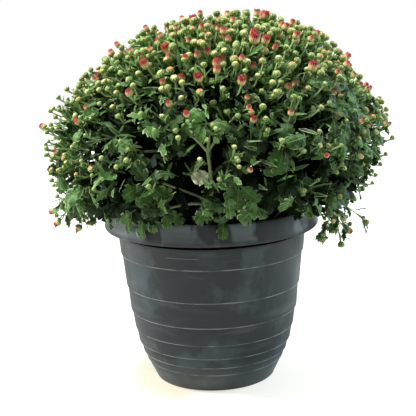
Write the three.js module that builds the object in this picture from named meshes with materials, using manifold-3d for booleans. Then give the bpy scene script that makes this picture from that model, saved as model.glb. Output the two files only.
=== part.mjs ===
// Pot chrysanthemum: a mounded garden mum in bud, growing in a stepped plastic pot.
// Millimetres, +Z up. The origin is the middle of the pot's flat base, on the ground.
import * as THREE from 'three';
import { mergeVertices } from 'three/addons/utils/BufferGeometryUtils.js';
import Module from 'manifold-3d';

const wasm = await Module();
wasm.setup();

// ---- Driving dimensions -------------------------------------------------------------------

const GAP = 0.3;                      // clearance between neighbouring pieces
const GOLDEN_ANGLE = Math.PI * (3 - Math.sqrt(5));
const UP = new THREE.Vector3(0, 0, 1);

const POT = {
  sides: 30,
  height: 214,
  wall: 2.8,
  floor: 4,
  baseRadius: 75,
  baseRound: 2.5,
  step: 1.4,                          // how far each band overhangs the one below it
  stepDrop: 1.2,
  bands: [                            // height and radius of each band's lower edge
    [23.5, 85.3], [34, 89.8], [47, 94.6], [64.5, 98.5], [87, 102.8], [118, 106.8], [158, 112],
  ],
  innerBands: [2, 4, 5, 6],           // the bands that the plain inner face follows
  neckRadius: 115,                    // body just under the collar
  collarBottom: 190,
  collarRadius: 130,                  // widest, at the collar's lower lip
  collarTopRadius: 127.6,
  lip: 2.4,                           // rounding along the collar's top edge
  lipLean: 0.8,
  rollDown: 1,                        // how far the collar's lower lip turns down
  rollUp: 3,
  rollTaper: 7.5,                     // height over which the lower lip narrows
  drainHoles: 6,
  drainRadius: 6,
  drainRing: 42,
  drainSides: 6,
};

const MIX = { edgeHeight: 184, crown: 4, rings: 2 };

// A stem's straight root end: how deep it stands in the mix, how far it shows above it, and
// how far the bent stem reaches down into it.
const ROOT = { depth: 38, rise: 4, radius: 3.4, joint: 1 };

const DOME = {                        // envelope of the foliage
  centre: 283,
  radius: 205,
  rise: 158,
  drop: 182,
  lean: 0.115,                        // sideways per unit of height above leanFrom
  leanFrom: 200,
};
const HEM = { side: 207, front: 228, back: 214, squeeze: 0.25 };

// Polar angles over which the growth changes from the budded crown to the leafy skirt.
const SKIRT = { from: 0.9, to: 1.7 };

// The tall stems, which wind out from the middle of the mound at the golden angle.
const STEMS = {
  count: 22,
  reach: 1.1,                         // share of a hemisphere's height that the tips cover
  turn: 0.6,
  spread: 1.06,                       // reach of its sites, as a share of an even share of the dome
  footRing: 80,
  radius: 3.1,
  sides: 4,
  steps: 4,
  inset: 36,                          // how far the woody tip stops below the envelope
  bendOut: 0.42,
  bendUp: 0.8,
  archHeight: 118,
};

// The short stems that arch over the pot's rim and close the mound's lower edge.
const RIM_STEMS = { count: 7, turn: 0.233, polar: 1.9, footRing: 95, archHeight: 72, spread: 0.24 };

// The thin sprays that hang past the rim, one at each side.
const SPRAYS = [
  { azimuth: 3.3, tipRadius: 176, tipHeight: 200 },
  { azimuth: -0.24, tipRadius: 166, tipHeight: 187 },
];
const SPRAY = {
  footRing: 96,
  bendRadius: 142,
  bendHeight: 284,
  leaves: 5,
  leavesFrom: 0.5,                    // share of the stem where the leaves begin and end
  leavesTo: 0.94,
  leafSizes: [0.95, 0.7],             // from the first leaf to the last
  leafDroop: 0.5,
  leafLean: 0.3,
  buds: 4,
  budsFrom: 0.72,
  pedicel: 22,
  onward: 0.7,                        // how far leaves and buds head on along the stem
};

// One bud on a long pedicel that stands out past the mound at the left.
const LONE_BUD = new THREE.Vector3(-196, -22, 314);

// The shaded inner leaves of a stem, as one ragged body: insets below the envelope, and
// reaches as a share of the way from the stem's axis to its cell's edge.
const MASS = {
  peak: 27,
  tooth: 33,
  valley: 54,
  toothReach: 0.93,
  valleyReach: 0.58,
  valleyAt: 0.27,                     // share of a cell's side where a valley lies
  depth: 100,
  widest: 0.46,                       // furthest a cell reaches from its axis, as a slope
  skirtLift: 3,                       // how much nearer the envelope it lies low on the dome
  sizes: [1, 0.9, 0.8, 0.7, 0.6, 0.5],
  margin: 1.02,                       // how much larger a size is tried than it is made
};

// Buds stand at numbered sites of the envelope, each on a pedicel rooted in the inner leaves.
const BUD = {
  radius: 5.1,
  height: 10.5,
  pedicel: 1.2,
  sides: 4,
  sites: 30,
  inset: 3,
  ragged: 8,
  root: 44,
  reach: 0.5,
  sway: 0.2,
  opening: 0.16,                      // share of the buds that show their rays
  waist: 0.55,                        // where it is widest and where its top begins,
  shoulder: 0.08,                     // as shares of its height down from its tip
};
// Belly, top and height of a closed and of an opening bud, as shares of the bud's own size.
const CLOSED = { belly: 1, top: 0.55, height: 1 };
const OPENING = { belly: 1.05, top: 1.2, height: 1.25 };

// Leaves are thickest at the rib, arched along it, and folded up at both sides.
const LEAF = {
  length: 45,
  width: 32,
  thickness: 1.9,
  arch: 17,
  droop: 24,
  fold: 10,
  sites: 34,
  phase: 1.7,
  root: 44,
  reach: 0.5,
  leans: [0.55, 1.25],                // least and most that a leaf leans away from its stem
  skirtLean: 0.25,
  skirtFall: 0.6,                     // how much more the leaves low on the dome hang down
  faceUp: 0.6,
  sizes: [0.8, 1.1],
  crownSize: 0.85,
};
// Half of a leaf's lobed outline: [share of the length, share of the width].
const LOBES = [[0.22, 0.07], [0.38, 0.4], [0.5, 0.24], [0.68, 0.5], [0.82, 0.25]];
const RIB = [0.4, 0.7];               // shares of the length where the rib is thickest

const BUDS_PER_STEM = { crown: 5, skirt: 3, rim: 2 };
const LEAVES_PER_STEM = { crown: 3, skirt: 6, rim: 4 };
const BEND_TRIES = [0, 0.5, -0.5, 1, -1, 1.6, -1.6];

// ---- Materials ----------------------------------------------------------------------------

function finish(color, roughness) {
  return new THREE.MeshStandardMaterial({ color, roughness, metalness: 0 });
}

const potPlastic = () => finish(0x43494a, 0.62);
const pottingMix = () => finish(0x33261b, 0.95);
const greenery = () => finish(0x3f6a34, 0.6);

// ---- Solids -------------------------------------------------------------------------------

function solid(geometry) {
  geometry.deleteAttribute('normal');
  geometry.deleteAttribute('uv');
  const merged = mergeVertices(geometry, 1e-4);
  return new wasm.Manifold(new wasm.Mesh({
    numProp: 3,
    vertProperties: new Float32Array(merged.attributes.position.array),
    triVerts: new Uint32Array(merged.index.array),
  }));
}

// A closed shape from its corners and its triangles' corner numbers.
function faceted(points, triangles) {
  const geometry = new THREE.BufferGeometry();
  const positions = points.flatMap((point) => point.toArray());
  geometry.setAttribute('position', new THREE.Float32BufferAttribute(positions, 3));
  geometry.setIndex(triangles);
  return solid(geometry);
}

function node(name, shape, material) {
  const mesh = shape.getMesh();
  const geometry = new THREE.BufferGeometry();
  geometry.setAttribute('position', new THREE.BufferAttribute(mesh.vertProperties, 3));
  geometry.setIndex(new THREE.BufferAttribute(mesh.triVerts, 1));
  geometry.computeVertexNormals();
  const piece = new THREE.Mesh(geometry, material);
  piece.name = name;
  return piece;
}

// A turned shape about +Z, from [radius, height] points that start and end on the axis.
function turned(points, sides) {
  const profile = points.map(([radius, height]) => new THREE.Vector2(radius, height));
  return new THREE.LatheGeometry(profile, sides).rotateX(Math.PI / 2);
}

// A turned shape laid from one point towards another; its heights run along that line.
function turnedAlong(points, sides, from, to) {
  const heading = to.clone().sub(from).normalize();
  const turn = new THREE.Quaternion().setFromUnitVectors(UP, heading);
  return turned(points, sides).applyQuaternion(turn).translate(from.x, from.y, from.z);
}

function overlaps(a, b) {
  const boxA = a.boundingBox();
  const boxB = b.boundingBox();
  const apart = [0, 1, 2].some((k) => boxA.min[k] > boxB.max[k] || boxB.min[k] > boxA.max[k]);
  return !apart && !a.intersect(b).isEmpty();
}

// The same spot always draws the same number, from 0 to 1.
function scatter(stem, item, salt) {
  const wave = Math.sin(stem * 127.1 + item * 311.7 + salt * 74.7) * 43758.5453;
  return wave - Math.floor(wave);
}

function mix(a, b, share) {
  return a + (b - a) * share;
}

// ---- Pot ----------------------------------------------------------------------------------

function potOutside() {
  const points = [[0, 0], [POT.baseRadius - POT.baseRound, 0], [POT.baseRadius, POT.baseRound]];
  for (const [height, radius] of POT.bands) {
    points.push([radius - POT.step, height - POT.stepDrop]);
    points.push([radius, height]);
  }
  points.push([POT.neckRadius, POT.collarBottom]);
  points.push([POT.collarRadius - POT.wall, POT.collarBottom]);
  points.push([POT.collarRadius - POT.lipLean, POT.collarBottom - POT.rollDown]);
  points.push([POT.collarRadius, POT.collarBottom + POT.rollUp]);
  points.push([POT.collarRadius - POT.lipLean, POT.collarBottom + POT.rollTaper]);
  points.push([POT.collarTopRadius, POT.height - POT.lip]);
  points.push([POT.collarTopRadius - POT.lipLean, POT.height]);
  return points;
}

// The plain inner face of the body, without the steps, drawn in by a clearance.
function innerRadius(height) {
  const last = POT.bands[POT.bands.length - 1];
  const share = (height - last[0]) / (POT.collarBottom - last[0]);
  return mix(last[1] - POT.step, POT.neckRadius, share) - POT.wall;
}

function potInside(shrink) {
  const floor = POT.floor + shrink;
  const points = [[0, floor], [POT.baseRadius - POT.wall - shrink, floor]];
  for (const band of POT.innerBands) {
    const [height, radius] = POT.bands[band];
    points.push([radius - POT.step - POT.wall - shrink, height]);
  }
  return points;
}

function pot() {
  const inside = potInside(0);
  const shelf = POT.collarBottom + POT.wall;
  inside.push([innerRadius(POT.collarBottom), POT.collarBottom]);
  inside.push([innerRadius(shelf), shelf]);
  inside.push([POT.collarTopRadius - POT.wall, shelf + POT.wall / 2]);
  inside.push([POT.collarTopRadius - POT.wall - POT.lipLean / 2, POT.height - POT.lipLean]);
  let body = solid(turned([...potOutside(), ...inside.reverse()], POT.sides));
  for (let hole = 0; hole < POT.drainHoles; hole += 1) {
    const angle = ((hole + 0.5) / POT.drainHoles) * 2 * Math.PI;
    const drill = new THREE.CylinderGeometry(
      POT.drainRadius, POT.drainRadius, POT.floor * 3, POT.drainSides,
    );
    drill.rotateX(Math.PI / 2);
    drill.translate(POT.drainRing * Math.cos(angle), POT.drainRing * Math.sin(angle), 0);
    body = body.subtract(solid(drill));
  }
  return body;
}

// ---- Potting mix --------------------------------------------------------------------------

const MIX_RADIUS = innerRadius(MIX.edgeHeight) - GAP;

// The mix is filled a little higher in the middle than at the pot's wall.
function mixTop(radius) {
  return MIX.edgeHeight + MIX.crown * (1 - (radius / MIX_RADIUS) ** 2);
}

function pottingMixBody() {
  const points = potInside(GAP);
  for (let ring = MIX.rings; ring >= 0; ring -= 1) {
    const radius = (MIX_RADIUS * ring) / MIX.rings;
    points.push([radius, mixTop(radius)]);
  }
  return solid(turned(points, POT.sides));
}

// A stem's root end, or the plain hole that it stands in when grown by the clearance.
function rootPeg(foot, grow) {
  const length = ROOT.depth + ROOT.rise + grow;
  const radius = ROOT.radius + grow;
  const peg = new THREE.CylinderGeometry(radius, radius, length, STEMS.sides);
  peg.rotateX(Math.PI / 2);
  peg.translate(foot.x, foot.y, mixTop(Math.hypot(foot.x, foot.y)) + ROOT.rise - length / 2);
  return solid(peg);
}

// ---- How the plant grows ------------------------------------------------------------------

// The height below which the foliage doesn't hang, by the way it faces.
function hemHeight(direction) {
  const flat = Math.max(Math.hypot(direction.x, direction.y), 1e-6);
  const front = Math.max(0, -direction.y / flat) ** 2;
  const back = Math.max(0, direction.y / flat) ** 2;
  return HEM.side + (HEM.front - HEM.side) * front + (HEM.back - HEM.side) * back;
}

// A point below the envelope by the inset, in a direction from the dome's centre.
function domePoint(direction, inset) {
  const rise = direction.z > 0 ? DOME.rise : DOME.drop;
  const flat = Math.hypot(direction.x, direction.y);
  const reach = 1 / Math.hypot(flat / DOME.radius, direction.z / rise);
  const point = direction.clone().multiplyScalar(reach - inset);
  point.z += DOME.centre;
  point.x += DOME.lean * (point.z - DOME.leanFrom);
  const hem = hemHeight(direction);
  if (point.z < hem) {
    point.z = hem + (point.z - hem) * HEM.squeeze;
  }
  return point;
}

// One stem: where it stands, the way it heads, and its bent path to its tip.
function growStem(index, azimuth, polar, footRadius, archHeight, spread) {
  const outward = new THREE.Vector3(Math.cos(azimuth), Math.sin(azimuth), 0);
  const axis = outward.clone().multiplyScalar(Math.sin(polar));
  axis.z = Math.cos(polar);
  const down = outward.clone().multiplyScalar(Math.cos(polar));
  down.z = -Math.sin(polar);
  const around = new THREE.Vector3(-Math.sin(azimuth), Math.cos(azimuth), 0);
  const foot = outward.clone().multiplyScalar(footRadius);
  foot.z = mixTop(footRadius) + ROOT.rise - ROOT.joint;
  const tip = domePoint(axis, STEMS.inset);
  const bend = foot.clone().lerp(tip, STEMS.bendOut);
  bend.z = foot.z + Math.max(STEMS.bendUp * (tip.z - foot.z), archHeight);
  const path = new THREE.QuadraticBezierCurve3(foot, bend, tip);
  const skirt = THREE.MathUtils.clamp((polar - SKIRT.from) / (SKIRT.to - SKIRT.from), 0, 1);
  return { index, axis, down, around, foot, path, skirt, spread, mass: 0 };
}

function tallStem(index) {
  const share = (index + 0.5) / STEMS.count;
  const azimuth = index * GOLDEN_ANGLE + STEMS.turn;
  const polar = Math.acos(1 - STEMS.reach * share);
  const spread = Math.sqrt((2 * STEMS.reach) / STEMS.count) * STEMS.spread;
  const footRadius = STEMS.footRing * Math.sqrt(share);
  return growStem(index, azimuth, polar, footRadius, STEMS.archHeight, spread);
}

function rimStem(index) {
  const { count, turn, polar, footRing, archHeight, spread } = RIM_STEMS;
  const azimuth = ((index + turn) / count) * 2 * Math.PI;
  return growStem(STEMS.count + index, azimuth, polar, footRing, archHeight, spread);
}

function sprayStem(spray, index) {
  const outward = new THREE.Vector3(Math.cos(spray.azimuth), Math.sin(spray.azimuth), 0);
  const at = (radius, height) => outward.clone().multiplyScalar(radius).setZ(height);
  const foot = at(SPRAY.footRing, mixTop(SPRAY.footRing) + ROOT.rise - ROOT.joint);
  const bend = at(SPRAY.bendRadius, SPRAY.bendHeight);
  const tip = at(spray.tipRadius, spray.tipHeight);
  const number = STEMS.count + RIM_STEMS.count + index;
  return { index: number, foot, path: new THREE.QuadraticBezierCurve3(foot, bend, tip) };
}

// The direction of one of a stem's sites, which wind out from its axis at the golden angle.
function siteDirection(stem, item, sites, phase) {
  const away = stem.spread * Math.sqrt((item + 0.5) / sites);
  const turn = item * GOLDEN_ANGLE + phase + stem.index;
  return stem.axis.clone()
    .addScaledVector(stem.down, away * Math.cos(turn))
    .addScaledVector(stem.around, away * Math.sin(turn))
    .normalize();
}

// ---- Parts of a leafy stem ----------------------------------------------------------------

function woodyStem(path) {
  const outline = new THREE.Shape();
  for (let side = 0; side < STEMS.sides; side += 1) {
    const angle = (side / STEMS.sides) * 2 * Math.PI;
    const x = STEMS.radius * Math.cos(angle);
    const y = STEMS.radius * Math.sin(angle);
    if (side === 0) {
      outline.moveTo(x, y);
    } else {
      outline.lineTo(x, y);
    }
  }
  outline.closePath();
  return solid(new THREE.ExtrudeGeometry(outline, { steps: STEMS.steps, extrudePath: path }));
}

// The corners of a stem's cell, as slopes from its axis: what lies nearer to it than to others.
function cellCorners(stem, others) {
  const most = MASS.widest;
  let corners = [[-most, -most], [most, -most], [most, most], [-most, most]];
  for (const other of others) {
    const away = stem.axis.clone().sub(other.axis);
    const side = ([down, around]) => away.dot(stem.axis)
      + down * away.dot(stem.down) + around * away.dot(stem.around);
    corners = corners.flatMap((corner, place) => {
      const next = corners[(place + 1) % corners.length];
      const here = side(corner);
      const there = side(next);
      const kept = here >= 0 ? [corner] : [];
      if ((here >= 0) !== (there >= 0)) {
        const share = here / (here - there);
        kept.push([mix(corner[0], next[0], share), mix(corner[1], next[1], share)]);
      }
      return kept;
    });
  }
  return corners;
}

// The direction at a slope from a stem's axis.
function slopeDirection(stem, down, around) {
  return stem.axis.clone()
    .addScaledVector(stem.down, down)
    .addScaledVector(stem.around, around)
    .normalize();
}

// The shaded leaves inside a stem's cell: a ragged cap that narrows down to the woody stem.
function innerLeaves(stem, others, size) {
  const lift = MASS.skirtLift * stem.skirt;
  const corners = cellCorners(stem, others);
  const at = (from, to, share, reach, inset) => {
    const out = reach * size;
    const down = mix(from[0], to[0], share) * out;
    const around = mix(from[1], to[1], share) * out;
    return domePoint(slopeDirection(stem, down, around), inset - lift);
  };
  const rim = corners.flatMap((corner, place) => {
    const next = corners[(place + 1) % corners.length];
    return [
      at(corner, next, 0, MASS.toothReach, MASS.tooth),
      at(corner, next, MASS.valleyAt, MASS.valleyReach, MASS.valley),
      at(corner, next, 0.5, MASS.toothReach, MASS.tooth),
      at(corner, next, 1 - MASS.valleyAt, MASS.valleyReach, MASS.valley),
    ];
  });
  const peak = domePoint(stem.axis, MASS.peak - lift);
  const deep = domePoint(stem.axis, MASS.depth);
  const triangles = [];
  for (let place = 0; place < rim.length; place += 1) {
    const next = (place + 1) % rim.length;
    triangles.push(place, next, rim.length);
    triangles.push(next, place, rim.length + 1);
  }
  return faceted([...rim, peak, deep], triangles);
}

// A bud on its pedicel: a round green bud, or one opening into a wider tuft of rays.
function bud(from, to, opening, grow) {
  const length = from.distanceTo(to);
  const form = opening ? OPENING : CLOSED;
  const belly = BUD.radius * form.belly + grow;
  const top = BUD.radius * form.top + grow;
  const height = BUD.height * form.height;
  const pedicel = BUD.pedicel + grow;
  return solid(turnedAlong([
    [0, 0], [pedicel, 0], [pedicel, length - height], [belly, length - height * BUD.waist],
    [top, length - height * BUD.shoulder], [0, length + grow],
  ], BUD.sides, from, to));
}

// A lobed leaf, arched along its rib and folded up at both sides, thickest at the rib.
function leaf(base, heading, up, size, grow) {
  const side = new THREE.Vector3().crossVectors(up, heading).normalize();
  const face = new THREE.Vector3().crossVectors(heading, side).normalize();
  const length = LEAF.length * size;
  const width = LEAF.width * size + grow * 2;
  const place = (along, across, offset) => {
    const curve = LEAF.arch * along - LEAF.droop * along ** 2 + LEAF.fold * Math.abs(across);
    return base.clone()
      .addScaledVector(heading, along * (length + grow))
      .addScaledVector(side, across * width)
      .addScaledVector(face, curve * size + offset);
  };
  const rim = [place(0, 0, 0)];
  LOBES.forEach(([along, across]) => rim.push(place(along, across, 0)));
  rim.push(place(1, 0, 0));
  [...LOBES].reverse().forEach(([along, across]) => rim.push(place(along, -across, 0)));
  const thick = (LEAF.thickness + grow * 2) / 2;
  const top = RIB.map((along) => place(along, 0, thick));
  const bottom = RIB.map((along) => place(along, 0, -thick));
  // Corners of one half: 0 is the base, 1 to 5 the lobes, 6 the tip, a and b the rib.
  const tip = LOBES.length + 1;
  const half = [[0, 1, 'a'], [1, 2, 'a'], [2, 3, 'a'], [3, 'b', 'a'], [3, 4, 'b'], [4, 5, 'b'],
    [5, tip, 'b']];
  const ribs = { a: 0, b: 1 };
  const corner = (key, mirrored, below) => {
    if (typeof key === 'string') {
      return rim.length + ribs[key] + (below ? RIB.length : 0);
    }
    return mirrored && key > 0 && key < tip ? rim.length - key : key;
  };
  const triangles = [];
  for (const mirrored of [false, true]) {
    for (const below of [false, true]) {
      for (const keys of half) {
        const corners = keys.map((key) => corner(key, mirrored, below));
        triangles.push(...(mirrored === below ? corners.reverse() : corners));
      }
    }
  }
  return faceted([...rim, ...top, ...bottom], triangles);
}

// ---- Growing the whole plant --------------------------------------------------------------

// The way an item heads off a spray's path, turning round it at the golden angle.
function sprayHeading(stem, along, item, sway, droop) {
  const tangent = stem.path.getTangent(along);
  const side = new THREE.Vector3().crossVectors(tangent, UP).normalize();
  side.applyAxisAngle(tangent, item * GOLDEN_ANGLE + stem.index + sway);
  const heading = tangent.multiplyScalar(SPRAY.onward).add(side);
  heading.z -= droop;
  return heading.normalize();
}

function sprayBudSolid(stem, item, sway, grow) {
  const along = mix(SPRAY.budsFrom, 1, (item + 1) / SPRAY.buds);
  const root = stem.path.getPoint(along);
  const heading = sprayHeading(stem, along, item + 0.5, sway, 0);
  const top = root.clone().addScaledVector(heading, SPRAY.pedicel + BUD.height);
  return bud(root, top, item === 1, grow);
}

function sprayLeafSolid(stem, item, sway, grow) {
  const along = mix(SPRAY.leavesFrom, SPRAY.leavesTo, item / (SPRAY.leaves - 1));
  const root = stem.path.getPoint(along);
  const heading = sprayHeading(stem, along, item, sway, SPRAY.leafDroop);
  const up = UP.clone().addScaledVector(heading, SPRAY.leafLean);
  return leaf(root, heading, up, mix(...SPRAY.leafSizes, item / SPRAY.leaves), grow);
}

// The direction a share of the way from a stem's axis to another direction.
function towards(stem, direction, share) {
  return stem.axis.clone().lerp(direction, share).normalize();
}

function budSolid(stem, item, sway, grow) {
  const direction = siteDirection(stem, item, BUD.sites, 0);
  const lift = MASS.skirtLift * stem.skirt;
  const root = domePoint(towards(stem, direction, BUD.reach * stem.mass), BUD.root - lift);
  const inset = BUD.inset + BUD.ragged * (scatter(stem.index, item, 1) - 0.5);
  const top = domePoint(towards(stem, direction, 1 - Math.abs(sway) * BUD.sway), inset);
  return bud(root, top, scatter(stem.index, item, 2) < BUD.opening, grow);
}

function leafSolid(stem, item, sway, grow) {
  const direction = siteDirection(stem, item, LEAF.sites, LEAF.phase);
  const lift = MASS.skirtLift * stem.skirt;
  const base = domePoint(towards(stem, direction, LEAF.reach * stem.mass), LEAF.root - lift);
  const along = direction.clone().sub(stem.axis).normalize();
  const lean = mix(...LEAF.leans, scatter(stem.index, item, 3)) + LEAF.skirtLean * stem.skirt;
  const heading = direction.clone().addScaledVector(along, lean);
  heading.z -= LEAF.skirtFall * stem.skirt;
  heading.normalize().applyAxisAngle(direction, sway);
  const up = direction.clone().addScaledVector(UP, LEAF.faceUp);
  const size = mix(...LEAF.sizes, scatter(stem.index, item, 4)) * mix(LEAF.crownSize, 1, stem.skirt);
  return leaf(base, heading, up, size, grow);
}

const stems = [];
for (let index = 0; index < STEMS.count; index += 1) {
  stems.push(tallStem(index));
}
for (let index = 0; index < RIM_STEMS.count; index += 1) {
  stems.push(rimStem(index));
}
const sprays = SPRAYS.map(sprayStem);

const potShape = pot();
let mixShape = pottingMixBody();
for (const stem of [...stems, ...sprays]) {
  mixShape = mixShape.subtract(rootPeg(stem.foot, GAP));
}

// What stands already: each stem's woody and shaded body, and the leaves and buds on it.
const grownStems = [...stems, ...sprays].map((stem) => ({
  stem,
  body: woodyStem(stem.path).add(rootPeg(stem.foot, 0)),
  outer: [],
}));

function clearOfOthers(candidate, entry) {
  return [potShape, mixShape].every((other) => !overlaps(candidate, other))
    && grownStems.every((other) => other === entry
      || [other.body, ...other.outer].every((shape) => !overlaps(candidate, shape)));
}

const leafyStems = grownStems.filter((entry) => stems.includes(entry.stem));
for (const entry of leafyStems) {
  const others = stems.filter((other) => other !== entry.stem);
  for (const size of MASS.sizes) {
    if (clearOfOthers(innerLeaves(entry.stem, others, size * MASS.margin), entry)) {
      entry.body = entry.body.add(innerLeaves(entry.stem, others, size));
      entry.stem.mass = size;
      break;
    }
  }
}

// The numbers of an evenly spread pick from a list of sites.
function pick(count, sites) {
  return Array.from({ length: count }, (_, turn) => Math.floor(((turn + 0.5) * sites) / count));
}

// Adds a leaf or a bud where it keeps clear of the other stems and of its own stem's others.
function attach(entry, item, make) {
  for (const sway of BEND_TRIES) {
    const candidate = make(entry.stem, item, sway, 0);
    const free = clearOfOthers(make(entry.stem, item, sway, GAP), entry)
      && entry.outer.every((shape) => !overlaps(candidate, shape))
      && overlaps(candidate, entry.body);
    if (free) {
      entry.outer.push(candidate);
      return;
    }
  }
}

for (const entry of grownStems.filter((other) => sprays.includes(other.stem))) {
  pick(SPRAY.leaves, SPRAY.leaves).forEach((item) => attach(entry, item, sprayLeafSolid));
  pick(SPRAY.buds, SPRAY.buds).forEach((item) => attach(entry, item, sprayBudSolid));
}
const loner = LONE_BUD.clone().setZ(LONE_BUD.z - DOME.centre).normalize();
const nearest = leafyStems.reduce((best, entry) => (
  entry.stem.axis.dot(loner) > best.stem.axis.dot(loner) ? entry : best));
nearest.outer.push(bud(domePoint(nearest.stem.axis, BUD.root), LONE_BUD, true, 0));
for (const entry of leafyStems) {
  const { index, skirt } = entry.stem;
  const count = (share) => (index < STEMS.count
    ? Math.round(mix(share.crown, share.skirt, skirt)) : share.rim);
  pick(count(BUDS_PER_STEM), BUD.sites).forEach((item) => attach(entry, item, budSolid));
  pick(count(LEAVES_PER_STEM), LEAF.sites).forEach((item) => attach(entry, item, leafSolid));
}

const plant = new THREE.Group();
plant.add(node('pot', potShape, potPlastic()));
plant.add(node('potting_mix', mixShape, pottingMix()));
for (const { stem, body, outer } of grownStems) {
  const kind = sprays.includes(stem) ? 'low_spray' : 'leafy_stem';
  const name = `${kind}_${String(stem.index + 1).padStart(2, '0')}`;
  const whole = outer.reduce((sum, shape) => sum.add(shape), body);
  plant.add(node(name, whole, greenery()));
}

export default plant;
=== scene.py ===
from math import acos, atan2, cos, hypot, pi, radians, sin, sqrt

import bmesh
import bpy
import numpy as np
from mathutils import Matrix, Vector


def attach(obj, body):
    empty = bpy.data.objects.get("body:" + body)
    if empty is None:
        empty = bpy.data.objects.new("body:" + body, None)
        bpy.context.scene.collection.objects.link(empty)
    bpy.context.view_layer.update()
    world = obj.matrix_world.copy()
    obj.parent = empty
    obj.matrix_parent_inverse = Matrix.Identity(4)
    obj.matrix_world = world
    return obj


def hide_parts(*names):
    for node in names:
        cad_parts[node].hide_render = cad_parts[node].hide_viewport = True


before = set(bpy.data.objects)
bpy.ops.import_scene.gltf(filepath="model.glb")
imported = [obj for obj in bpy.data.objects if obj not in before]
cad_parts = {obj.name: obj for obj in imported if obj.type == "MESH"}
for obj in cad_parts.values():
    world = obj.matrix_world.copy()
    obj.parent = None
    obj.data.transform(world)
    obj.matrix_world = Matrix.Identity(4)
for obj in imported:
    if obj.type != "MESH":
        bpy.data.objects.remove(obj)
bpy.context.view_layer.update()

# ---- Pot ----
# A thin nursery pot of charcoal plastic: seven stepped bands under a wide rolled collar. It is
# turned from its base ring, drawn up band by band, over the lip and down inside, then drilled.
# Its finish has clouds, scuffs, pale worn steps with a painted highlight on their edges, dust
# at the foot with painted floor light, painted leaf shadows and painted light on the collar, and
# a painted black shadow under the collar.
MM = 0.001
POT_SIDES = 160
POT_BASE = 72.5
POT_BANDS = [(23.5, 85.3), (34, 89.8), (47, 94.6), (64.5, 98.5), (87, 102.8), (118, 106.8),
             (158, 112)]  # height and radius of each step's edge
POT_STEP = 1.4
POT_NECK = 115
POT_HEIGHT = 214
COLLAR_BOTTOM = 190
COLLAR_RADIUS = 130
COLLAR_TOP = 127.6
COLLAR_FROM_HEIGHT = 0.1893  # in metres, as the finish reads heights
DRAIN_HOLES = 6
DRAIN_RADIUS = 6
DRAIN_RING = 42
DRILL_DEPTH = 20
SHARP_TURN = 38
EDGE_LINE_WITHIN = 0.3


def close_work():
    """Leaves edit mode, with nothing selected."""
    if bpy.context.object and bpy.context.object.mode != "OBJECT":
        bpy.ops.object.mode_set(mode="OBJECT")
    bpy.ops.object.select_all(action="DESELECT")


def start(primitive, **sizes):
    """Adds a primitive at the origin, in edit mode and all selected."""
    close_work()
    primitive(location=(0, 0, 0), **sizes)
    bpy.ops.object.mode_set(mode="EDIT")
    bpy.ops.mesh.select_mode(type="VERT")
    bpy.ops.mesh.select_all(action="SELECT")
    return bpy.context.active_object


def take(piece, chosen):
    """Selects the piece's points with these numbers, and nothing else."""
    shape = bmesh.from_edit_mesh(piece.data)
    shape.verts.ensure_lookup_table()
    wanted = set(chosen)
    for point in shape.verts:
        point.select = point.index in wanted
    shape.select_mode = {"VERT"}
    shape.select_flush(True)
    shape.select_flush(False)
    bmesh.update_edit_mesh(piece.data)


def draw_up(outline, scale=MM):
    """Extrudes the selected ring through the radii and heights of a turned outline."""
    for (was_radius, was_height), (radius, height) in zip(outline, outline[1:]):
        rise = (0, 0, (height - was_height) * scale)
        bpy.ops.mesh.extrude_region_move(TRANSFORM_OT_translate={"value": rise})
        size = radius / was_radius
        bpy.ops.transform.resize(value=(size, size, 1), center_override=(0, 0, height * scale))


def face_outwards():
    bpy.ops.mesh.select_all(action="SELECT")
    bpy.ops.mesh.normals_make_consistent(inside=False)
    close_work()


def close_turned(piece, sides):
    """Caps the last and the first ring of a turned shape."""
    bpy.ops.mesh.edge_face_add()
    take(piece, range(sides))
    bpy.ops.mesh.edge_face_add()
    face_outwards()


def modify(piece, kind, **settings):
    """Adds a modifier with these settings, and applies it."""
    modifier = piece.modifiers.new(kind.lower(), kind)
    for name, value in settings.items():
        setattr(modifier, name, value)
    bpy.context.view_layer.objects.active = piece
    piece.select_set(True)
    bpy.ops.object.modifier_apply(modifier=modifier.name)


def points_of(mesh):
    points = np.empty(len(mesh.vertices) * 3)
    mesh.vertices.foreach_get("co", points)
    return points.reshape(-1, 3)


def linear(colour):
    """A screen colour as a linear one. A link, or a colour of four numbers, stays as it is."""
    if isinstance(colour, bpy.types.NodeSocket) or len(colour) == 4:
        return colour
    shares = [level / 255 for level in colour]
    return tuple(s / 12.92 if s <= 0.04045 else ((s + 0.055) / 1.055) ** 2.4 for s in shares) + (1,)


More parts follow.
